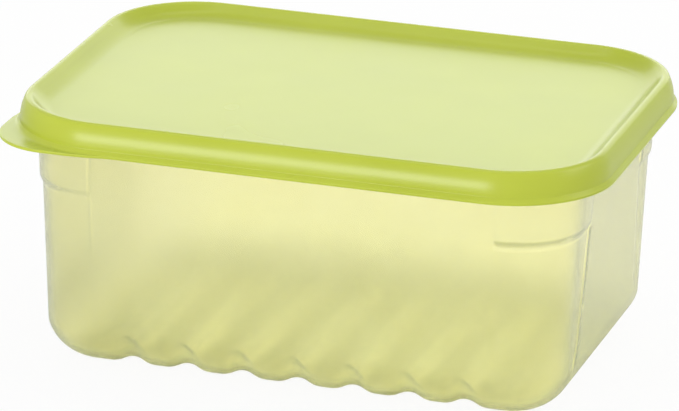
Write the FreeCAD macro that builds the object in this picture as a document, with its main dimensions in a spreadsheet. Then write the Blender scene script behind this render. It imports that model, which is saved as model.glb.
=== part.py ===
import FreeCAD, Part
import math
import os
import re
import Sketcher

# Rectangular food storage container: a thin-walled tub with rounded, slightly
# drafted walls and a corrugated floor, shut by a press-on lid with a pull tab
# at one corner.  Millimetres; +X runs along the long side, +Z is up.  The
# origin is the middle of the tub at the undersides of the floor's bumps.

sizes = {
    # lid, measured over its lower lip
    "lid_length": 250.0,
    "lid_width": 180.0,
    "lid_corner": 43.5,
    "lid_wall": 1.2,
    "lip_level": 97.2,        # height of the lid's lower edge
    "lip_round": 0.7,
    "lip_top": 1.1,           # the rest of the rim is measured up from the lower edge
    "skirt_foot": 2.7,
    "skirt_bend": 4.0,
    "skirt_slope": 14.0,      # degrees off vertical
    "crest_level": 10.7,      # centre of the rounded crest
    "crest_inset": 5.4,       # inward from the outermost lip
    "crest_radius": 2.2,
    "inner_slope": 45.0,      # degrees, from the crest down to the panel
    "panel_drop": 4.9,        # crest to panel
    "panel_round": 9.0,       # hollow between slope and panel
    "panel_join": 2.0,        # flat part of the swept rim that laps the panel
    # pull tab at the -X -Y corner
    "tab_proud": 1.3,
    "tab_corner": 25.0,
    "tab_thick": 1.2,
    "tab_drop": 0.3,
    "tab_lap": 0.8,
    "tab_side_start": 52.0,   # measured along the lid's sides from their ends at this corner
    "tab_side_full": 34.0,
    "tab_front_start": 63.0,
    "tab_front_full": 35.0,
    # tub, outside
    "tub_end_inset": 14.45,   # from the lid's lip in to the tub's foot, at each end
    "tub_side_inset": 14.75,
    "tub_corner": 24.5,       # plan radius at the foot
    "wall_draft": 2.3,        # degrees
    "tub_wall": 1.4,
    "foot_round": 20.0,
    "flange_rise": 1.8,       # underside of the flange above the lid's lower edge
    "rim_wall": 1.4,
    "rim_round": 0.6,
    "lid_gap": 0.3,           # between the rim's top and the lid's crest
    # corner posts: proud above the ledge, set back below it
    "ledge_level": 75.8,
    "post_step": 0.6,
    "post_front_top": 1.05,   # measured along the walls from where the plan corners begin
    "post_front_foot": 3.05,
    "post_side_top": 12.25,
    "post_side_foot": 3.75,
    "relief_reach": 5.0,
    # floor corrugation
    "groove_count": 7.0,
    "groove_end": 5.8,        # from the last groove to where the plan corners begin
    "groove_depth": 2.6,
    "groove_land": 4.0,       # flat underside left between two grooves
    "groove_lead": 0.05,      # how far the shoulders' arcs run below the floor
    "groove_reach": 6.0,
    "groove_turn": 55.0,      # degrees that a groove follows round into the wall
    "groove_exit": 14.0,
}

doc = FreeCAD.newDocument("food_storage_container")
sheet = doc.addObject("Spreadsheet::Sheet", "sizes")
for row, (alias, value) in enumerate(sizes.items(), start=1):
    sheet.set(f"A{row}", alias)
    sheet.set(f"B{row}", str(value))
    sheet.setAlias(f"B{row}", alias)
doc.recompute()


def bound(text):
    """An expression on the sheet's cells, written with their bare aliases."""
    return re.sub(r"[a-z_]+", lambda w: "sizes." + w[0] if w[0] in sizes else w[0], text)


def number(text):
    return float(sheet.evalExpression(bound(text)))


def origin_part(body, role):
    return next(f for f in body.Origin.OriginFeatures if f.Role == role)


def new_sketch(body, name, plane, level="0"):
    """A sketch on an origin plane, moved along the plane's normal by level."""
    sketch = body.newObject("Sketcher::SketchObject", name)
    sketch.AttachmentSupport = [(origin_part(body, plane), "")]
    sketch.MapMode = "FlatFace"
    sketch.setExpression("AttachmentOffset.Base.z", bound(level))
    return sketch


def draw(sketch, points, closed=True):
    """Joins the points by lines, or by arcs where a point names a radius.

    A point is (x, y) or (x, y, side, radius): the arc that leaves it has its
    centre on that side of the way to the next point.  Every point's
    coordinates and every radius are bound to the sheet.
    """
    spots = [FreeCAD.Vector(number(p[0]), number(p[1]), 0) for p in points]
    count = len(points) if closed else len(points) - 1
    ends = []
    for i in range(count):
        start, end = spots[i], spots[(i + 1) % len(spots)]
        if len(points[i]) == 2:
            geo = sketch.addGeometry(Part.LineSegment(start, end), False)
            ends.append((geo, 1, 2))
            continue
        side, radius = points[i][2], number(points[i][3])
        turn = 1 if side == "left" else -1
        across = (end - start) * 0.5
        rise = math.sqrt(radius ** 2 - across.Length ** 2)
        normal = FreeCAD.Vector(-across.y, across.x, 0).normalize()
        centre = start + across + normal * rise * turn
        first, last = (start, end) if turn > 0 else (end, start)
        angles = [math.atan2(v.y - centre.y, v.x - centre.x) for v in (first, last)]
        circle = Part.Circle(centre, FreeCAD.Vector(0, 0, 1), radius)
        geo = sketch.addGeometry(Part.ArcOfCircle(circle, *angles), False)
        ends.append((geo, 1, 2) if turn > 0 else (geo, 2, 1))
        index = sketch.addConstraint(Sketcher.Constraint("Radius", geo, radius))
        sketch.setExpression(f"Constraints[{index}]", bound(points[i][3]))
    for i in range(count if closed else count - 1):
        geo, _, last = ends[i]
        after, first, _ = ends[(i + 1) % count]
        sketch.addConstraint(Sketcher.Constraint("Coincident", geo, last, after, first))
    pins = [(ends[i][0], ends[i][1], i) for i in range(count)]
    if not closed:
        pins.append((ends[-1][0], ends[-1][2], count))
    for geo, end, i in pins:
        for kind, text in zip(("DistanceX", "DistanceY"), points[i]):
            index = sketch.addConstraint(Sketcher.Constraint(kind, geo, end, number(text)))
            sketch.setExpression(f"Constraints[{index}]", bound(text))


def rounded_rectangle(half_x, half_y, radius):
    hx, hy, r = f"({half_x})", f"({half_y})", f"({radius})"
    arc = ("left", r)
    return [
        (f"{r}-{hx}", f"-{hy}"), (f"{hx}-{r}", f"-{hy}", *arc),
        (hx, f"{r}-{hy}"), (hx, f"{hy}-{r}", *arc),
        (f"{hx}-{r}", hy), (f"{r}-{hx}", hy, *arc),
        (f"-{hx}", f"{hy}-{r}"), (f"-{hx}", f"{r}-{hy}", *arc),
    ]


def loft(body, kind, name, lower, upper):
    feature = body.newObject(f"PartDesign::{kind}Loft", name)
    feature.Profile = lower
    feature.Sections = [upper]
    feature.Ruled = True
    lower.Visibility = upper.Visibility = False
    doc.recompute()
    return feature


def pad(body, name, sketch, length, taper=None):
    feature = body.newObject("PartDesign::Pad", name)
    feature.Profile = sketch
    feature.setExpression("Length", bound(length))
    if taper:
        feature.setExpression("TaperAngle", bound(taper))
    sketch.Visibility = False
    doc.recompute()


def fillet(body, name, chosen, radius):
    """Rounds the edges of the body's tip that chosen(edge) picks."""
    base = body.Tip
    edges = [f"Edge{i}" for i, e in enumerate(base.Shape.Edges, start=1) if chosen(e)]
    feature = body.newObject("PartDesign::Fillet", name)
    feature.Base = (base, edges)
    feature.setExpression("Radius", bound(radius))
    doc.recompute()


def edge_at_level(level):
    return lambda e: e.BoundBox.ZMin > level - 1e-3 and e.BoundBox.ZMax < level + 1e-3


flange_level = "(lip_level + flange_rise)"
rim_top = "(lip_level + crest_level + crest_radius - lid_wall - lid_gap)"
groove_rise = "(groove_depth + groove_lead)"

# the plan corners are concentric from foot to rim
foot_y = "(lid_width / 2 - tub_side_inset)"
corner_x = "(lid_length / 2 - tub_end_inset - tub_corner)"
corner_y = f"({foot_y} - tub_corner)"

groove_pitch = f"((2 * ({corner_x} - groove_end) + groove_land) / groove_count)"
groove_half = f"(({groove_pitch} - groove_land) / 2)"
groove_radius = f"(({groove_half}^2 + {groove_rise}^2) / (4 * {groove_rise}))"


def corner_radius(level, inset):
    return f"(tub_corner + tan(wall_draft) * {level} - {inset})"


def half_length(level, inset):
    return f"({corner_x} + {corner_radius(level, inset)})"


def half_width(level, inset):
    return f"({corner_y} + {corner_radius(level, inset)})"


def post_block(level, inset, front, side):
    """Quarter plan of the +X +Y corner, out to the post's proud face."""
    face = f"({inset} - post_step)"
    front, side = f"({corner_x} - {front})", f"({corner_y} - {side})"
    hx, hy = half_length(level, face), half_width(level, face)
    return [
        (front, side), (hx, side), (hx, corner_y, "left", corner_radius(level, face)),
        (corner_x, hy), (front, hy),
    ]


def post_relief(level, inset, front, side):
    """What is cleared away outside the set-back face of that corner's post."""
    face = f"({inset} + post_step)"
    front, side = f"({corner_x} - {front})", f"({corner_y} - {side})"
    hx, hy = half_length(level, face), half_width(level, face)
    far_x, far_y = f"({hx} + relief_reach)", f"({hy} + relief_reach)"
    return [
        (front, hy), (front, far_y), (far_x, far_y), (far_x, side), (hx, side),
        (hx, corner_y, "left", corner_radius(level, face)), (corner_x, hy),
    ]


def tub_form(body, inset, floor_level, shelf_level, top_level, ledge, rim_side):
    """One skin of the tub as a full solid: inset is 0 outside, the wall inside."""
    foot = new_sketch(body, body.Name + "_foot", "XY_Plane", floor_level)
    draw(foot, rounded_rectangle(half_length(floor_level, inset), half_width(floor_level, inset),
                                 corner_radius(floor_level, inset)))
    pad(body, body.Name + "_walls", foot, f"{shelf_level} - {floor_level}", "wall_draft")
    fillet(body, body.Name + "_foot_round", edge_at_level(number(floor_level)),
           f"foot_round - {inset}")

    upper = []
    for tag, level in (("low", ledge), ("high", shelf_level)):
        sketch = new_sketch(body, f"{body.Name}_post_{tag}", "XY_Plane", level)
        draw(sketch, post_block(level, inset, "post_front_top", "post_side_top"))
        upper.append(sketch)
    boss = loft(body, "Additive", body.Name + "_post", *upper)
    lower = []
    for tag, level, front, side in (("low", "0", "post_front_foot", "post_side_foot"),
                                    ("high", ledge, "post_front_top", "post_side_top")):
        sketch = new_sketch(body, f"{body.Name}_relief_{tag}", "XY_Plane", level)
        draw(sketch, post_relief(level, inset, front, side))
        lower.append(sketch)
    relief = loft(body, "Subtractive", body.Name + "_relief", *lower)
    corners = body.newObject("PartDesign::MultiTransform", body.Name + "_corners")
    mirrors = []
    for plane in ("YZ_Plane", "XZ_Plane"):
        mirror = body.newObject("PartDesign::Mirrored", f"{body.Name}_{plane[:2]}_mirror")
        mirror.MirrorPlane = (origin_part(body, plane), [""])
        mirrors.append(mirror)
    corners.Originals = [boss, relief]
    corners.Transformations = mirrors
    body.Tip = corners
    doc.recompute()

    section = new_sketch(body, body.Name + "_groove_section", "XZ_Plane")
    section.setExpression("AttachmentOffset.Base.x",
                          bound(f"-(groove_count - 1) / 2 * {groove_pitch}"))
    share = f"(({groove_radius} + {inset}) / (2 * {groove_radius}))"
    bend_x = f"({groove_half} * {share})"
    bend_z = (f"(groove_depth - {groove_radius}"
              f" + (2 * {groove_radius} - {groove_rise}) * {share})")
    shoulder = f"({groove_radius} - {inset})"
    draw(section, [
        (groove_half, f"{inset} - groove_lead", "right", shoulder),
        (bend_x, bend_z, "left", f"{groove_radius} + {inset}"),
        (f"-{bend_x}", bend_z, "right", shoulder),
        (f"-{groove_half}", f"{inset} - groove_lead"),
        (f"-{groove_half}", "-groove_reach"), (groove_half, "-groove_reach"),
    ])
    path = new_sketch(body, body.Name + "_groove_path", "YZ_Plane",
                      f"-(groove_count - 1) / 2 * {groove_pitch}")
    centre = f"({foot_y} + foot_round * (tan(wall_draft) - 1 / cos(wall_draft)))"
    bend_y = f"({centre} + foot_round * sin(groove_turn))"
    bend_up = "(foot_round * (1 - cos(groove_turn)))"
    end_y = f"({bend_y} + groove_exit * cos(groove_turn))"
    end_up = f"({bend_up} + groove_exit * sin(groove_turn))"
    draw(path, [
        (f"-{end_y}", end_up), (f"-{bend_y}", bend_up, "left", "foot_round"),
        (f"-{centre}", "0"), ("0", "0"), (centre, "0", "left", "foot_round"),
        (bend_y, bend_up), (end_y, end_up),
    ], closed=False)
    groove = body.newObject("PartDesign::SubtractivePipe", body.Name + "_groove")
    groove.Profile = section
    groove.Spine = path
    section.Visibility = path.Visibility = False
    doc.recompute()
    grooves = body.newObject("PartDesign::LinearPattern", body.Name + "_grooves")
    grooves.Originals = [groove]
    grooves.Direction = (origin_part(body, "X_Axis"), [""])
    grooves.setExpression("Length", bound(f"(groove_count - 1) * {groove_pitch}"))
    grooves.setExpression("Occurrences", bound("groove_count"))
    body.Tip = grooves
    doc.recompute()

    rim = new_sketch(body, body.Name + "_rim_plan", "XY_Plane", shelf_level)
    draw(rim, rounded_rectangle(
        f"lid_length / 2 - crest_inset + {rim_side} * rim_wall / 2",
        f"lid_width / 2 - crest_inset + {rim_side} * rim_wall / 2",
        f"lid_corner - crest_inset + {rim_side} * rim_wall / 2"))
    pad(body, body.Name + "_rim", rim, f"{top_level} - {shelf_level}")


def make_tub():
    outside = doc.addObject("PartDesign::Body", "tub")
    tub_form(outside, "0", "0", flange_level, rim_top, "ledge_level", "1")
    inside = doc.addObject("PartDesign::Body", "hollow")
    tub_form(inside, "tub_wall", "tub_wall", f"({flange_level} + tub_wall)",
             f"({rim_top} + 1)", "(ledge_level + tub_wall)", "-1")
    cut = outside.newObject("PartDesign::Boolean", "tub_hollowed")
    cut.Type = "Cut"
    cut.setObjects([inside])
    doc.recompute()
    fillet(outside, "rim_edge", edge_at_level(number(rim_top)), "rim_round")
    return outside


def make_lid():
    body = doc.addObject("PartDesign::Body", "lid")
    path = new_sketch(body, "rim_path", "XY_Plane", "lip_level")
    outline = rounded_rectangle("lid_length / 2", "lid_width / 2", "lid_corner")
    draw(path, [("lid_length / 2", "0")] + outline[3:] + outline[:3])

    def across(inset):
        return f"(lid_length / 2 - {inset})"

    def above(rise):
        return f"(lip_level + {rise})"

    def crest(radius, angle):
        """A point on the crest's arc; the angle is from straight outward."""
        return (across(f"(crest_inset - {radius} * cos({angle}))"),
                above(f"(crest_level + {radius} * sin({angle}))"))

    under = "(crest_radius - lid_wall)"
    panel = "(crest_level + crest_radius - panel_drop)"
    bend = ("(crest_inset - crest_radius * cos(skirt_slope)"
            " - (crest_level + crest_radius * sin(skirt_slope) - skirt_bend) * tan(skirt_slope))")
    hollow_up = f"({panel} + panel_round)"
    # the slope is one straight line between the crest's arc and the hollow's
    slope_up = f"({hollow_up} - panel_round * cos(inner_slope))"
    slope_in = ("(crest_inset + crest_radius * sin(inner_slope)"
                f" + (crest_level + crest_radius * cos(inner_slope) - {slope_up}) / tan(inner_slope))")
    flat = f"({slope_in} + panel_round * sin(inner_slope))"
    deep = "(panel_round + lid_wall)"
    crest_out = crest("crest_radius", "skirt_slope")
    crest_in = (across("(crest_inset + crest_radius * sin(inner_slope))"),
                above("(crest_level + crest_radius * cos(inner_slope))"))
    under_in = (across(f"(crest_inset + {under} * sin(inner_slope))"),
                above(f"(crest_level + {under} * cos(inner_slope))"))
    section = new_sketch(body, "rim_section", "XZ_Plane")
    draw(section, [
        (across("lip_round"), "lip_level", "right", "lip_round"),
        (across("0"), above("lip_round")),
        (across("0"), above("lip_top")),
        (across(bend), above("skirt_foot")),
        (across(bend), above("skirt_bend")),
        (*crest_out, "left", "crest_radius"),
        crest_in,
        (across(slope_in), above(slope_up), "right", "panel_round"),
        (across(flat), above(panel)),
        (across(f"({flat} + panel_join)"), above(panel)),
        (across(f"({flat} + panel_join)"), above(f"({panel} - lid_wall)")),
        (across(flat), above(f"({panel} - lid_wall)"), "left", deep),
        (across(f"({flat} - {deep} * sin(inner_slope))"),
         above(f"({hollow_up} - {deep} * cos(inner_slope))")),
        (*under_in, "right", under),
        crest(under, "skirt_slope"),
        (across(f"({bend} + lid_wall)"), above("skirt_bend")),
        (across(f"({bend} + lid_wall)"), above("skirt_foot")),
        (across("(2 * lip_round)"), "lip_level"),
    ])
    rim = body.newObject("PartDesign::AdditivePipe", "rim_sweep")
    rim.Profile = section
    rim.Spine = path
    section.Visibility = path.Visibility = False
    doc.recompute()

    lap = f"({flat} + panel_join / 2)"
    plate = new_sketch(body, "panel_plan", "XY_Plane", above(f"({panel} - lid_wall)"))
    draw(plate, rounded_rectangle(f"lid_length / 2 - {lap}", f"lid_width / 2 - {lap}",
                                  f"lid_corner - {lap}"))
    pad(body, "panel", plate, "lid_wall")

    tab = new_sketch(body, "tab_plan", "XY_Plane", "(lip_level - tab_drop)")
    side, front = "(lid_length / 2 + tab_proud)", "(lid_width / 2 + tab_proud)"
    lap_x, lap_y = "(lid_length / 2 - tab_lap)", "(lid_width / 2 - tab_lap)"
    draw(tab, [
        (f"-{lap_x}", "tab_side_start - lid_width / 2"),
        (f"-{side}", "tab_side_full - lid_width / 2"),
        (f"-{side}", f"tab_corner - {front}", "left", "tab_corner"),
        (f"tab_corner - {side}", f"-{front}"),
        ("tab_front_full - lid_length / 2", f"-{front}"),
        ("tab_front_start - lid_length / 2", f"-{lap_y}"),
        ("lid_corner - lid_length / 2", f"-{lap_y}", "right", "lid_corner - tab_lap"),
        (f"-{lap_x}", "lid_corner - lid_width / 2"),
    ])
    pad(body, "tab", tab, "tab_thick")
    return body


bodies = [make_tub(), make_lid()]
doc.recompute()

failed = [o.Label for o in doc.Objects if {"Invalid", "Error"} & set(o.State)]
if failed:
    raise SystemExit(f"objects that did not build: {failed}")
for body in bodies:
    shape = body.Shape
    if shape.isNull() or not shape.isValid() or len(shape.Solids) != 1:
        raise SystemExit(f"{body.Label}: not one valid solid")

os.makedirs("parts", exist_ok=True)
for body in bodies:
    box = body.Shape.optimalBoundingBox(True, False)
    body.Shape.exportStep(f"parts/{body.Label}.step")
    print(f"{body.Label}: {box.XLength:.1f} x {box.YLength:.1f} x {box.ZLength:.1f} mm,"
          f" {body.Shape.Volume / 1000:.1f} cm3")
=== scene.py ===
import math

import bpy
import numpy as np
from mathutils import Matrix, Vector


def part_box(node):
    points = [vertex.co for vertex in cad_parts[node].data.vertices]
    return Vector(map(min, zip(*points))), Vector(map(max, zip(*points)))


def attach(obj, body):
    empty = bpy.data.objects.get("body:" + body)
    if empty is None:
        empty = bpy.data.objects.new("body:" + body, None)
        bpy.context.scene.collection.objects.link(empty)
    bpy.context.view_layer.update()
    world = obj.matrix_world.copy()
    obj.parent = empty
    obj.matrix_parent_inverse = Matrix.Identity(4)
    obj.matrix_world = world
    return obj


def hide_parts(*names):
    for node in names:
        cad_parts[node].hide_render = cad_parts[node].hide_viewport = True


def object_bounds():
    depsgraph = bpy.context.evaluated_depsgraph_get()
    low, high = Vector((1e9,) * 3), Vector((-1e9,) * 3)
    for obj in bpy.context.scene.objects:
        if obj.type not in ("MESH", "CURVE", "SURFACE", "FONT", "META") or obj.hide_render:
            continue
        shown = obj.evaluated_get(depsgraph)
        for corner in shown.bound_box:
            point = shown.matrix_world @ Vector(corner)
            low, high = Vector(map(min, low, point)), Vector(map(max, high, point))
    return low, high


# A closed food storage box: a translucent tub with a corrugated floor and a lime
# press-on lid.  Both are rebuilt as fine closed meshes in the places of the CAD
# solids.  Lengths in the dictionaries are millimetres, angles are degrees.

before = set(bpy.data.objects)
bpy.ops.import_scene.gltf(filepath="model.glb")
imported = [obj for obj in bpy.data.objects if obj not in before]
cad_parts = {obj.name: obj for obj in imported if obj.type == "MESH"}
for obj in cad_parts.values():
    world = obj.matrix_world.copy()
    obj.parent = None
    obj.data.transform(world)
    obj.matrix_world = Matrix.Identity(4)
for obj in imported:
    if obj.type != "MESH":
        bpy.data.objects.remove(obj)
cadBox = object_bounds()
mm = 0.001
hair = 1e-6      # small enough to count as nothing
print("frame loaded:", sorted(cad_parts))

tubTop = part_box("tub")[1] / mm
lidLow, lidHigh = [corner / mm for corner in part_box("lid")]


# outlines: each is a rectangle grown outward by a radius, so its corners are round

# places from the first stop to the last, with as many even steps in each span as counts says
def spread(stops, counts):
    parts = [np.linspace(a, b, n, endpoint=False) for a, b, n in zip(stops, stops[1:], counts)]
    return np.concatenate(parts + [[stops[-1]]])


def bothSides(half):
    return np.concatenate([-half[::-1], half[1:]])


# foot points and outward directions all the way round: the front wall, then the right,
# back and left ones, each with the corner that follows it
def loopOf(xs, ys, turns):
    foot, out = [], []
    walls = [
        ([(x, ys[0]) for x in xs], -90),
        ([(xs[-1], y) for y in ys], 0),
        ([(x, ys[-1]) for x in xs[::-1]], 90),
        ([(xs[0], y) for y in ys[::-1]], 180),
    ]
    for places, heading in walls:
        foot += places + [places[-1]] * (turns - 1)
        angles = [heading] * len(places) + [heading + 90 * i / turns for i in range(1, turns)]
        out += [(math.cos(math.radians(a)), math.sin(math.radians(a))) for a in angles]
    return np.array(foot), np.array(out)


def smooth(t):
    t = np.clip(t, 0, 1)
    return t * t * (3 - 2 * t)


# the smaller of two, rounded where they cross
def softMin(a, b, soft):
    near = np.clip(0.5 + (b - a) / (2 * soft), 0, 1)
    return b + (a - b) * near - soft * near * (1 - near)


# a path through the corners (across, up, radius), each turned into an arc
def rounded(corners, steps):
    path = [np.array(corners[0][:2])]
    for before, here, after in zip(corners, corners[1:], corners[2:]):
        point = np.array(here[:2])
        back, ahead = [np.array(p[:2]) - point for p in (before, after)]
        back, ahead = back / np.linalg.norm(back), ahead / np.linalg.norm(ahead)
        half = math.acos(np.clip(back @ ahead, -1, 1)) / 2
        middle = (back + ahead) / np.linalg.norm(back + ahead)
        centre = point + middle * here[2] / math.sin(half)
        start, end = [point + way * here[2] / math.tan(half) - centre for way in (back, ahead)]
        turn = math.pi - 2 * half
        for i in range(steps + 1):
            share = i / steps
            path.append(centre + (start * math.sin((1 - share) * turn)
                                  + end * math.sin(share * turn)) / math.sin(turn))
    return path + [np.array(corners[-1][:2])]


# meshes: rings of points skinned one to the next, with a grid across each end

def joinLoops(faces, a, b):
    for k in range(len(a)):
        n = (k + 1) % len(a)
        face = [a[k], a[n], b[n], b[k]]
        face = [p for i, p in enumerate(face) if p != face[i - 1]]
        if len(face) > 2:
            faces.append(face)


def closedMesh(name, firstCap, rings, lastCap):
    verts, faces = [], []
    around = len(rings[0])

    # adds a grid and returns the grid point that each place of a ring meets
    def addCap(grid, flip):
        rows, columns = grid.shape[:2]
        index = len(verts) + np.arange(rows * columns).reshape(rows, columns)
        verts.extend(grid.reshape(-1, 3).tolist())
        for j in range(rows - 1):
            for i in range(columns - 1):
                face = [index[j, i], index[j, i + 1], index[j + 1, i + 1], index[j + 1, i]]
                faces.append(face[::-1] if flip else face)
        fan = (around - 2 * rows - 2 * columns) // 4
        sides = [index[0], index[:, -1], index[-1, ::-1], index[::-1, 0]]
        return np.concatenate([np.append(side, [side[-1]] * fan) for side in sides])

    previous = addCap(firstCap, True)
    for ring in rings:
        now = len(verts) + np.arange(around)
        verts.extend(ring.tolist())
        joinLoops(faces, previous, now)
        previous = now
    joinLoops(faces, previous, addCap(lastCap, False))
    mesh = bpy.data.meshes.new(name)
    mesh.from_pydata([[c * mm for c in v] for v in verts], [],
                     [[int(i) for i in face] for face in faces])
    mesh.validate()
    mesh.shade_smooth()
    piece = bpy.data.objects.new(name, mesh)
    bpy.context.scene.collection.objects.link(piece)
    return piece


# tub

tub = {
    "footLength": 221.1, "footWidth": 150.5, "corner": 24.5,
    "draft": 2.3, "wall": 1.4, "footRound": 20.0,
    "ledge": 75.8, "postStep": 0.6,      # posts stand back below the ledge and out above it
    "postSoft": (1.9, 3.6), "ledgeSoft": 4.4, "footSoft": 0.25,   # widths that the steps take
    "frontTop": 85.0, "frontFoot": 83.0,   # where the posts begin, out from the middle of the
    "sideTop": 38.5, "sideFoot": 47.0,     # long and the short walls, at the ledge and the foot
    "flange": 99.0, "rimWall": 1.4, "rimRound": 0.6, "rimCorner": 38.8, "rimLap": 6.0,
    "grooves": 7, "pitch": 23.5, "grooveDepth": 2.6, "land": 4.0,
    "grooveTurn": 55.0, "grooveSoft": 0.15,   # how far up the round foot the grooves run
    "turns": 18,      # faces round each corner
}


# how far the floor is lifted at x: rounded grooves made of arcs, with flat lands between
def grooveRise(x):
    half = (tub["pitch"] - tub["land"]) / 2
    depth = tub["grooveDepth"]
    radius = (half ** 2 + depth ** 2) / (4 * depth)
    nearest = np.clip(np.round(x / tub["pitch"]), -(tub["grooves"] // 2), tub["grooves"] // 2)
    away = np.minimum(np.abs(x - nearest * tub["pitch"]), half)
    crown = depth - radius + np.sqrt(radius ** 2 - np.minimum(away, half / 2) ** 2)
    shoulder = radius - np.sqrt(radius ** 2 - (half - np.maximum(away, half / 2)) ** 2)
    return np.where(away < half / 2, crown, shoulder)


def makeTub():
    cornerX = tub["footLength"] / 2 - tub["corner"]
    cornerY = tub["footWidth"] / 2 - tub["corner"]
    slope = math.tan(math.radians(tub["draft"]))
    roundR = tub["footRound"]
    centreR = tub["corner"] + roundR * (slope - 1 / math.cos(math.radians(tub["draft"])))
    soft = tub["postSoft"]

    # where the corner posts begin, on the long and on the short walls
    def edges(level):
        up = min(max(level, 0) / tub["ledge"], 1)
        return (tub["frontFoot"] + (tub["frontTop"] - tub["frontFoot"]) * up,
                tub["sideFoot"] + (tub["sideTop"] - tub["sideFoot"]) * up)

    def columns(level):
        front, side = edges(level)
        xs = spread([0, front - soft[0] / 2, front + soft[0] / 2, cornerX], [60, 6, 1])
        ys = spread([0, side - soft[1] / 2, side + soft[1] / 2, cornerY], [18, 8, 2])
        return bothSides(xs), bothSides(ys)

    # foot points, outward directions and how far into a corner post each one is
    def loop(level):
        xs, ys = columns(level)
        foot, out = loopOf(xs, ys, tub["turns"])
        front, side = edges(level)
        onLong = np.abs(foot[:, 1]) > cornerY - hair
        into = np.where(onLong, np.abs(foot[:, 0]) - front, np.abs(foot[:, 1]) - side)
        return foot, out, smooth(into / np.where(onLong, *soft) + 0.5)

    def ring(foot, out, radius, level):
        flat = foot + out * np.broadcast_to(radius, len(foot))[:, None]
        return np.column_stack([flat, np.broadcast_to(level, len(foot))])

    def footRing(angle, inset):
        turn = math.radians(angle)
        foot, out, post = loop(0)
        lift = np.where(np.abs(foot[:, 1]) > cornerY - hair, grooveRise(foot[:, 0]), 0)
        past = math.radians(max(angle - tub["grooveTurn"], 0))
        fade = tub["grooveSoft"] if past else hair
        lift = -softMin(0, (roundR - lift) / math.cos(past) - roundR, fade)
        reach = roundR - inset - lift
        level = roundR - reach * math.cos(turn)
        radius = centreR + reach * math.sin(turn)
        back = tub["corner"] + slope * level - inset - tub["postStep"]
        radius = radius + post * (softMin(radius, back, tub["footSoft"]) - radius)
        return ring(foot, out, radius, level)

    def wallRing(level, inset):
        foot, out, post = loop(level - inset)
        ledge = tub["ledge"] + inset / 2
        step = tub["postStep"] * (2 * smooth((level - ledge) / tub["ledgeSoft"] + 0.5) - 1)
        return ring(foot, out, tub["corner"] + slope * level - inset + post * step, level)

    # rings from the edge of the floor to the top of the wall
    def skin(inset, top):
        last = 90 - tub["draft"]
        rings = [footRing(a, inset) for a in spread([0, last], [22])]
        low = roundR - (roundR - inset) * math.cos(math.radians(last))
        ledge, near = tub["ledge"] + inset / 2, tub["ledgeSoft"] / 2
        levels = spread([low, ledge - near, ledge + near, top], [9, 8, 5])
        return rings + [wallRing(level, inset) for level in levels[1:]]

    def floor(inset):
        xs, ys = columns(0)
        across, along = np.meshgrid(xs, ys)
        return np.dstack([across, along, inset + grooveRise(across)])

    rimTop, wall, small, lap = tubTop.z, tub["wall"], tub["rimRound"], tub["rimLap"]
    outside = skin(0, tub["flange"] - small)
    inside = skin(wall, tub["flange"] + wall + small)
    rimX, rimY = tubTop.x - tub["rimCorner"], tubTop.y - tub["rimCorner"]
    foot, out, _ = loop(tub["flange"])
    foot = foot * [rimX / cornerX, rimY / cornerY]
    outer = tub["rimCorner"]
    inner = outer - tub["rimWall"]
    shelf = tub["flange"]
    section = rounded([
        (inner - lap, shelf, 0), (outer, shelf, small), (outer, rimTop, small),
        (inner, rimTop, small), (inner, shelf + wall, small), (inner - lap, shelf + wall, 0),
    ], 4)
    rim = [ring(foot, out, across, up) for across, up in section]
    return closedMesh("tub_body", floor(0), outside + rim + inside[::-1], floor(wall))


# lid

lid = {
    "corner": 43.5, "turns": 30, "lip": 97.2, "wall": 1.2, "lipTop": 1.1, "lipRound": 0.5,
    "foldR": 0.3, "skirtFoot": 2.7, "footR": 0.5, "skirtBend": 4.0, "bendR": 0.8,
    "skirtLean": 5.0, "bulgeUp": 7.6, "bulgeR": 20.0, "skirtSlope": 22.0,   # a slightly round skirt
    "crestIn": 5.4, "crestUp": 10.7, "crestR": 2.2, "innerSlope": 45.0,
    "panelDrop": 4.9, "panelRound": 9.0, "panelLap": 4.0,
    "tabCorner": 25.0, "tabTop": 0.9, "tabUnder": -0.3,
    "tabSide": (38.0, 56.0), "tabFront": (62.0, 90.0),   # where each edge leaves the lip and ends
    "tabLap": 0.8, "tabEase": 0.8, "tabSoft": 0.3, "tabCrown": 0.1,
    "tabRoot": 0.15,      # share of the step above the lip in which the tab dies away
}


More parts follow.
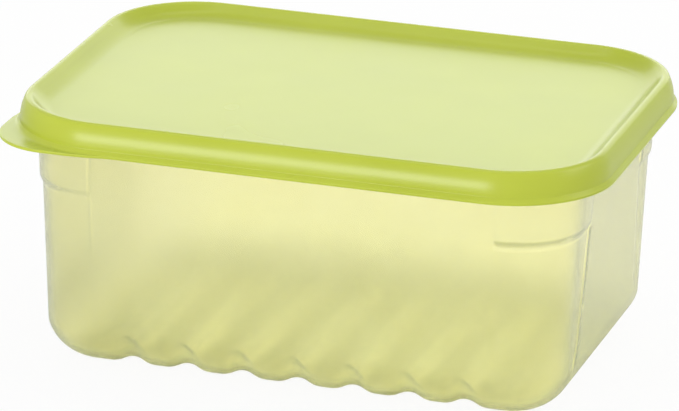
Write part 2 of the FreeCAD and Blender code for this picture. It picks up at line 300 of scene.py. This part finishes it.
def makeLid():
    halfX, halfY = lidHigh.x, lidHigh.y
    cornerX, cornerY = halfX - lid["corner"], halfY - lid["corner"]
    xs = bothSides(spread([0, 45, cornerX], [12, 16]))   # closer where the tab leaves the lip
    ys = bothSides(spread([0, 30, cornerY], [10, 6]))
    foot, out = loopOf(xs, ys, lid["turns"])

    # how far the tab stands out past the lip, along each outward direction
    def tabReach():
        (sideStart, sideFull), (frontStart, frontFull) = lid["tabSide"], lid["tabFront"]
        lap, r = lid["tabLap"], lid["tabCorner"]
        edgeX, edgeY = lidLow.x, lidLow.y
        planes = [((edgeX, 0), (edgeX, -1)), ((-1, edgeY), (0, edgeY)),
                  ((lap - halfX, -sideStart), (edgeX, -sideFull)),
                  ((-frontFull, edgeY), (-frontStart, lap - halfY))]
        far = 1000.0
        reach = np.full(len(foot), far)
        for start, end in planes:
            along = np.array(end) - start
            normal = np.array([along[1], -along[0]]) / np.linalg.norm(along)
            toward = np.maximum(out @ normal, hair)
            gap = (np.array(start) - foot) @ normal
            reach = np.minimum(reach, np.where(toward > hair, gap / toward, far))
        centre = np.array([edgeX + r, edgeY + r])
        tip = foot + out * reach[:, None]
        there = (tip < centre).all(axis=1)
        away = foot - centre
        along = (away * out).sum(axis=1)
        arc = -along + np.sqrt(np.maximum(along ** 2 - (away ** 2).sum(axis=1) + r * r, 0))
        reach = np.where(there, np.minimum(arc, reach), reach)
        reach = np.where((foot[:, 0] < 0) & (foot[:, 1] < 0) & (reach < far / 2), reach, 0)
        return -softMin(lid["corner"] - reach, 0, lid["tabSoft"])

    tab = tabReach()
    hasTab = smooth(tab / lid["tabEase"])

    slope, inner = math.radians(lid["skirtSlope"]), math.radians(lid["innerSlope"])
    facing = [np.array([-math.cos(slope), math.sin(slope)]),
              np.array([math.sin(inner), math.cos(inner)])]
    bisector = (facing[0] + facing[1]) / np.linalg.norm(facing[0] + facing[1])
    crest = np.array([lid["crestIn"], lid["crestUp"]])
    wall = lid["wall"]

    def crestPoint(radius):
        return crest + bisector * radius / (bisector @ facing[0])

    # where the inner slope meets the level of the panel
    def hollowPoint(up, radius):
        on = crest + facing[1] * radius
        return on + np.array([1 / math.tan(inner), -1]) * (on[1] - up)

    top, under = crestPoint(lid["crestR"]), crestPoint(lid["crestR"] - wall)
    panel = lid["crestUp"] + lid["crestR"] - lid["panelDrop"]
    hollowTop, hollowUnder = (hollowPoint(panel, lid["crestR"]),
                              hollowPoint(panel - wall, lid["crestR"] - wall))
    bulge = top[0] - (top[1] - lid["bulgeUp"]) * math.tan(slope)
    bend = bulge - (lid["bulgeUp"] - lid["skirtBend"]) * math.tan(math.radians(lid["skirtLean"]))
    end = hollowTop[0] + lid["panelRound"] + lid["panelLap"]
    lip, fold, steps = lid["lipRound"], lid["foldR"], 10
    # along the underside and down the inside to the lip, then up the outside to the panel
    section = rounded([
        (end, panel - wall, 0), (*hollowUnder, lid["panelRound"] + wall),
        (*under, lid["crestR"] - wall), (bulge + wall, lid["bulgeUp"], lid["bulgeR"] - wall),
        (bend + wall, lid["skirtBend"], 2 * fold),
        (bend + wall, lid["skirtFoot"], fold), (3 * lip, 0, fold),
        (0, 0, lip), (0, lid["lipTop"], fold), (bend, lid["skirtFoot"], lid["footR"]),
        (bend, lid["skirtBend"], lid["bendR"]), (bulge, lid["bulgeUp"], lid["bulgeR"]),
        (*top, lid["crestR"]), (*hollowTop, lid["panelRound"]), (end, panel, 0),
    ], steps)
    # the tab grows out of the rings between the lip's lower and upper edges
    lipStart, lipEnd = 1 + 6 * (steps + 1), 1 + 8 * (steps + 1)
    stops = [(*point, 1.0 if lipStart <= i < lipEnd else 0.0) for i, point in enumerate(section)]
    edge = section[lipEnd - 1]
    step = (section[lipEnd] - edge) * lid["tabRoot"]
    stops[lipEnd:lipEnd] = [(*(edge + step * t), 1 - t) for t in (0.1, 0.3, 0.6, 0.85, 1)]
    drop, above = lid["tabUnder"], lid["tabTop"]
    rings = []
    for inset, rise, share in stops:
        crown = above + (1 - share) * lid["tabCrown"]
        tabRise = min(rise + drop, crown) if share else rise + drop
        low = hasTab * (1 if share or rise < lip else 0)
        level = lid["lip"] + rise + (tabRise - rise) * low
        flat = foot + out * (lid["corner"] - inset + tab * share)[:, None]
        rings.append(np.column_stack([flat, level]))

    def plateAt(level):
        across, along = np.meshgrid(xs, ys)
        return np.dstack([across, along, np.full(across.shape, lid["lip"] + level)])

    return closedMesh("lid_cover", plateAt(panel - wall), rings, plateAt(panel))


# materials

# an sRGB hex colour as linear RGBA
def linear(hexColour):
    parts = [int(hexColour[i:i + 2], 16) / 255 for i in (0, 2, 4)]
    return [c / 12.92 if c <= 0.04045 else ((c + 0.055) / 1.055) ** 2.4 for c in parts] + [1]


# adds a node with its settings, its socket values and the outputs that feed it
def node(tree, kind, links=None, values=None, **settings):
    made = tree.nodes.new("ShaderNode" + kind)
    for name, value in settings.items():
        setattr(made, name, value)
    for socket, value in (values or {}).items():
        made.inputs[socket].default_value = value
    for socket, source in (links or {}).items():
        tree.links.new(source, made.inputs[socket])
    return made


def newMaterial(name):
    material = bpy.data.materials.new(name)
    material.use_nodes = True
    material.node_tree.nodes.clear()
    return material, material.node_tree


# cloudy shades of the given width in mm, about 0 to 1; object coordinates are in metres
def clouds(tree, width, detail):
    place = node(tree, "TexCoord").outputs["Object"]
    noise = node(tree, "TexNoise", {"Vector": place}, {"Scale": 1 / (width * mm), "Detail": detail})
    return node(tree, "MapRange", {"Value": noise.outputs["Fac"]},
                {"From Min": 0.25, "From Max": 0.75}, clamp=False)   # where most of the noise lies


def between(tree, fac, first, second):
    mix = node(tree, "Mix", {"Factor": fac.outputs[0]}, data_type="RGBA")
    mix.inputs["A"].default_value, mix.inputs["B"].default_value = linear(first), linear(second)
    return mix.outputs["Result"]


# the face that a blasted mould leaves: shades where the plastic flowed, a slow waviness and a
# fine grain; gives the shades, the bumped normal and the satin roughness
def mouldedFace(tree, look):
    flow = clouds(tree, look["flow"], 2)
    wave = node(tree, "Bump", {"Height": clouds(tree, look["wave"], 0).outputs[0]},
                {"Strength": 1.0, "Distance": look["waveHigh"] * mm})
    face = node(tree, "Bump", {"Height": clouds(tree, look["grain"], 1).outputs[0],
                               "Normal": wave.outputs[0]},
                {"Strength": 1.0, "Distance": look["grainHigh"] * mm})
    satin = node(tree, "MapRange", {"Value": flow.outputs[0]},
                 {"To Min": look["roughness"][0], "To Max": look["roughness"][1]})
    return flow, face.outputs[0], satin.outputs[0]


# natural polypropylene, injection moulded in a vapour-blasted mould: light passes through it,
# but the satin faces blur what stands behind, and a milky haze hangs in the wall itself
polypropylene = {
    "tint": ("fffbd2", "fffcd8"), "milk": ("cfe8f2", "d9eef6"),
    "lit": "fdf4b8", "passes": "e4e5bc",   # the haze lit from behind; light on its way through
    "ior": 1.49, "roughness": (0.21, 0.26),
    "clear": 0.93,      # the rest is haze
    "glow": 0.3,        # share of the haze that lights up from behind
    "flow": 38.0,       # mm, streaks left by the plastic as it filled the mould
    "wave": 16.0, "waveHigh": 0.05,     # mm, unevenness of the wall as it cooled
    "grain": 1.4, "grainHigh": 0.004,   # mm; the blasted grain is 0.1 mm, too fine to show
}


def tubPlastic():
    look = polypropylene
    material, tree = newMaterial("moulded_polypropylene_natural")
    flow, face, satin = mouldedFace(tree, look)
    milk = between(tree, flow, *look["milk"])
    body = node(tree, "BsdfPrincipled",
                {"Base Color": between(tree, flow, *look["tint"]), "Roughness": satin,
                 "Normal": face},
                {"IOR": look["ior"], "Transmission Weight": 1.0})
    lit = node(tree, "BsdfTranslucent", {"Normal": face}, {"Color": linear(look["lit"])})
    front = node(tree, "BsdfDiffuse", {"Color": milk, "Normal": face})
    haze = node(tree, "MixShader", {1: front.outputs[0], 2: lit.outputs[0]}, {0: look["glow"]})
    plastic = node(tree, "MixShader", {1: haze.outputs[0], 2: body.outputs[0]}, {0: look["clear"]})
    through = node(tree, "BsdfTransparent", values={"Color": linear(look["passes"])})
    shadow = node(tree, "LightPath").outputs["Is Shadow Ray"]
    both = node(tree, "MixShader", {0: shadow, 1: plastic.outputs[0], 2: through.outputs[0]})
    node(tree, "OutputMaterial", {"Surface": both.outputs[0]})
    return material


# lime low-density polyethylene, injection moulded: waxy and satin, a pale sheen over a deep
# lime that lets a little light through
polyethylene = {
    "lime": ("c4ce3c", "cdd648"), "glow": "d2e350",
    "ior": 1.51, "roughness": (0.23, 0.28),
    "bloom": 0.25, "bloomSpread": 0.4,   # the waxy film on the face
    "share": 0.3,       # what lights up from behind
    "flow": 55.0,       # mm, slow shades where the pigment is less well mixed
    "wave": 22.0, "waveHigh": 0.04,     # mm, the panel is never quite flat
    "grain": 1.2, "grainHigh": 0.004,   # mm; the blasted grain is 0.1 mm, too fine to show
}


def lidPlastic():
    look = polyethylene
    material, tree = newMaterial("moulded_polyethylene_lime")
    flow, face, satin = mouldedFace(tree, look)
    body = node(tree, "BsdfPrincipled",
                {"Base Color": between(tree, flow, *look["lime"]), "Roughness": satin,
                 "Normal": face},
                {"IOR": look["ior"], "Sheen Weight": look["bloom"],
                 "Sheen Roughness": look["bloomSpread"]})
    glow = node(tree, "BsdfTranslucent", {"Normal": face}, {"Color": linear(look["glow"])})
    plastic = node(tree, "MixShader", {1: body.outputs[0], 2: glow.outputs[0]}, {0: look["share"]})
    node(tree, "OutputMaterial", {"Surface": plastic.outputs[0]})
    return material


tubPiece = makeTub()
print("tub:", len(tubPiece.data.polygons), "faces")
lidPiece = makeLid()
print("lid:", len(lidPiece.data.polygons), "faces")
for piece, cadNode, finish in ((tubPiece, "tub", tubPlastic()), (lidPiece, "lid", lidPlastic())):
    piece.data.materials.append(finish)
    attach(piece, "root")
    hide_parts(cadNode)
    print("finished:", piece.name, "in", finish.name)


# stage, light and camera

# pale paper, its size in metres, and the strength of the white room around it; seen, mirrored
# and through are how far it is plain white to the camera, in gloss and through plastic, and the
# rest is the lit paper with its shadow
stage = {
    "size": 6.0, "paper": "e8e8e6", "fill": 0.74,
    "seen": 0.93, "mirrored": 0.0, "through": 1.0,
    # painted shade: within an oval round the container, views through plastic get little plain white,
    # so the paper looks darker there; the oval is painted and the darkness inside it is the real
    # shadow on the lit paper
    "under": 0.05,            # the last of these where the container itself shades the paper:
    "squeeze": (0.72, 1, 0),  # an oval, narrower from front to back,
    "shade": (94, 136),       # with an edge that fades between these distances in mm
}
lampAim = 0.05      # metres, the height that the lamps are turned to
lamps = {
    "softbox_top": {"place": (-0.1, 0.1, 1.3), "size": (1.2, 0.3), "bright": 1.5},
    "softbox_back": {"place": (-0.4, 1.5, 0.58), "size": (2.2, 0.9), "bright": 1.8},
    "softbox_front": {"place": (-0.55, -1.6, 0.24), "size": (1.0, 0.45), "bright": 8.5},
    "softbox_right": {"place": (1.35, 0.2, 0.85), "size": (1.0, 0.8), "bright": 2.0},
}
# turned to the right of the front, raised and tilted, in degrees; places in metres, lens in mm
camera = {"turn": 17.13, "rise": 19.38, "roll": 1.07, "away": 2.49365, "lens": 323.17,
          "across": -0.00401, "up": -0.03793, "aim": 0.0972}


def makeFloor():
    half = stage["size"] / 2
    corners = [(-half, -half), (half, -half), (half, half), (-half, half)]
    mesh = bpy.data.meshes.new("studio_floor")
    mesh.from_pydata([(x, y, cadBox[0].z) for x, y in corners], [], [(0, 1, 2, 3)])
    floor = bpy.data.objects.new("studio_floor", mesh)
    bpy.context.scene.collection.objects.link(floor)
    material, tree = newMaterial("matt_white_paper")
    paper = node(tree, "BsdfDiffuse", values={"Color": linear(stage["paper"])})
    white = node(tree, "Emission", values={"Strength": 1.0})
    place = node(tree, "TexCoord").outputs["Object"]
    oval = node(tree, "VectorMath", {0: place}, {1: stage["squeeze"]}, operation="MULTIPLY")
    away = node(tree, "VectorMath", {0: oval.outputs[0]}, operation="LENGTH")
    near, far = stage["shade"]
    # the painted oval of shade under the container, for views through plastic only; inside it the
    # real shadow on the lit paper shows instead of plain white
    clear = node(tree, "MapRange", {"Value": away.outputs["Value"]},
                 {"From Min": near * mm, "From Max": far * mm,
                  "To Min": stage["under"], "To Max": stage["through"]},
                 interpolation_type="SMOOTHSTEP")
    path = node(tree, "LightPath")
    bent = path.outputs["Is Transmission Ray"]
    # a blurred view through plastic counts as glossy too, so that is taken off
    sheen = node(tree, "Math", {0: path.outputs["Is Glossy Ray"], 1: bent},
                 operation="SUBTRACT", use_clamp=True)
    mirrored = node(tree, "Math", {0: sheen.outputs[0]}, {1: stage["mirrored"]}, operation="MULTIPLY")
    through = node(tree, "Math", {0: bent, 1: clear.outputs[0]}, operation="MULTIPLY")
    seen = node(tree, "Math", {0: path.outputs["Is Camera Ray"]}, {1: stage["seen"]},
                operation="MULTIPLY")
    either = node(tree, "Math", {0: mirrored.outputs[0], 1: through.outputs[0]}, operation="MAXIMUM")
    share = node(tree, "Math", {0: either.outputs[0], 1: seen.outputs[0]}, operation="MAXIMUM")
    mixed = node(tree, "MixShader", {0: share.outputs[0], 1: paper.outputs[0], 2: white.outputs[0]})
    node(tree, "OutputMaterial", {"Surface": mixed.outputs[0]})
    mesh.materials.append(material)


def makeWorld():
    world = bpy.data.worlds.new("studio")
    world.use_nodes = True
    tree = world.node_tree
    tree.nodes.clear()
    fill = node(tree, "Background", values={"Color": linear("ffffff"), "Strength": stage["fill"]})
    white = node(tree, "Background", values={"Color": linear("ffffff"), "Strength": 1.0})
    path = node(tree, "LightPath")
    bent = node(tree, "Math", {0: path.outputs["Is Glossy Ray"],
                               1: path.outputs["Is Transmission Ray"]}, operation="MAXIMUM")
    share = node(tree, "Math", {0: bent.outputs[0], 1: path.outputs["Is Camera Ray"]},
                 operation="MAXIMUM")
    mixed = node(tree, "MixShader", {0: share.outputs[0], 1: fill.outputs[0], 2: white.outputs[0]})
    node(tree, "OutputWorld", {"Surface": mixed.outputs[0]})
    bpy.context.scene.world = world


# soft rectangular lamps, each so many times as bright as plain white, turned to the container
def makeLamps():
    middle = Vector((0, 0, lampAim))
    for name, one in lamps.items():
        lamp = bpy.data.lights.new(name, "AREA")
        lamp.shape = "RECTANGLE"
        lamp.size, lamp.size_y = one["size"]
        lamp.energy = one["bright"] * lamp.size * lamp.size_y * math.pi
        box = bpy.data.objects.new(name, lamp)
        bpy.context.scene.collection.objects.link(box)
        box.location = one["place"]
        box.rotation_euler = (middle - Vector(one["place"])).to_track_quat("-Z", "Y").to_euler()


def makeCamera():
    turn, rise, roll = [math.radians(camera[k]) for k in ("turn", "rise", "roll")]
    back = Vector((math.sin(turn) * math.cos(rise), -math.cos(turn) * math.cos(rise), math.sin(rise)))
    level = Vector((math.cos(turn), math.sin(turn), 0))
    right = level * math.cos(roll) + back.cross(level) * math.sin(roll)
    up = back.cross(right)
    lens = bpy.data.cameras.new("camera")
    lens.lens = camera["lens"]
    eye = bpy.data.objects.new("camera", lens)
    bpy.context.scene.collection.objects.link(eye)
    place = back * camera["away"] + right * camera["across"] + up * camera["up"]
    place.z += camera["aim"]
    eye.matrix_world = Matrix.Translation(place) @ Matrix((right, up, back)).transposed().to_4x4()
    bpy.context.scene.camera = eye


makeFloor()
makeWorld()
makeLamps()
makeCamera()
bpy.context.scene.view_settings.view_transform = "Standard"
print("lit and framed")
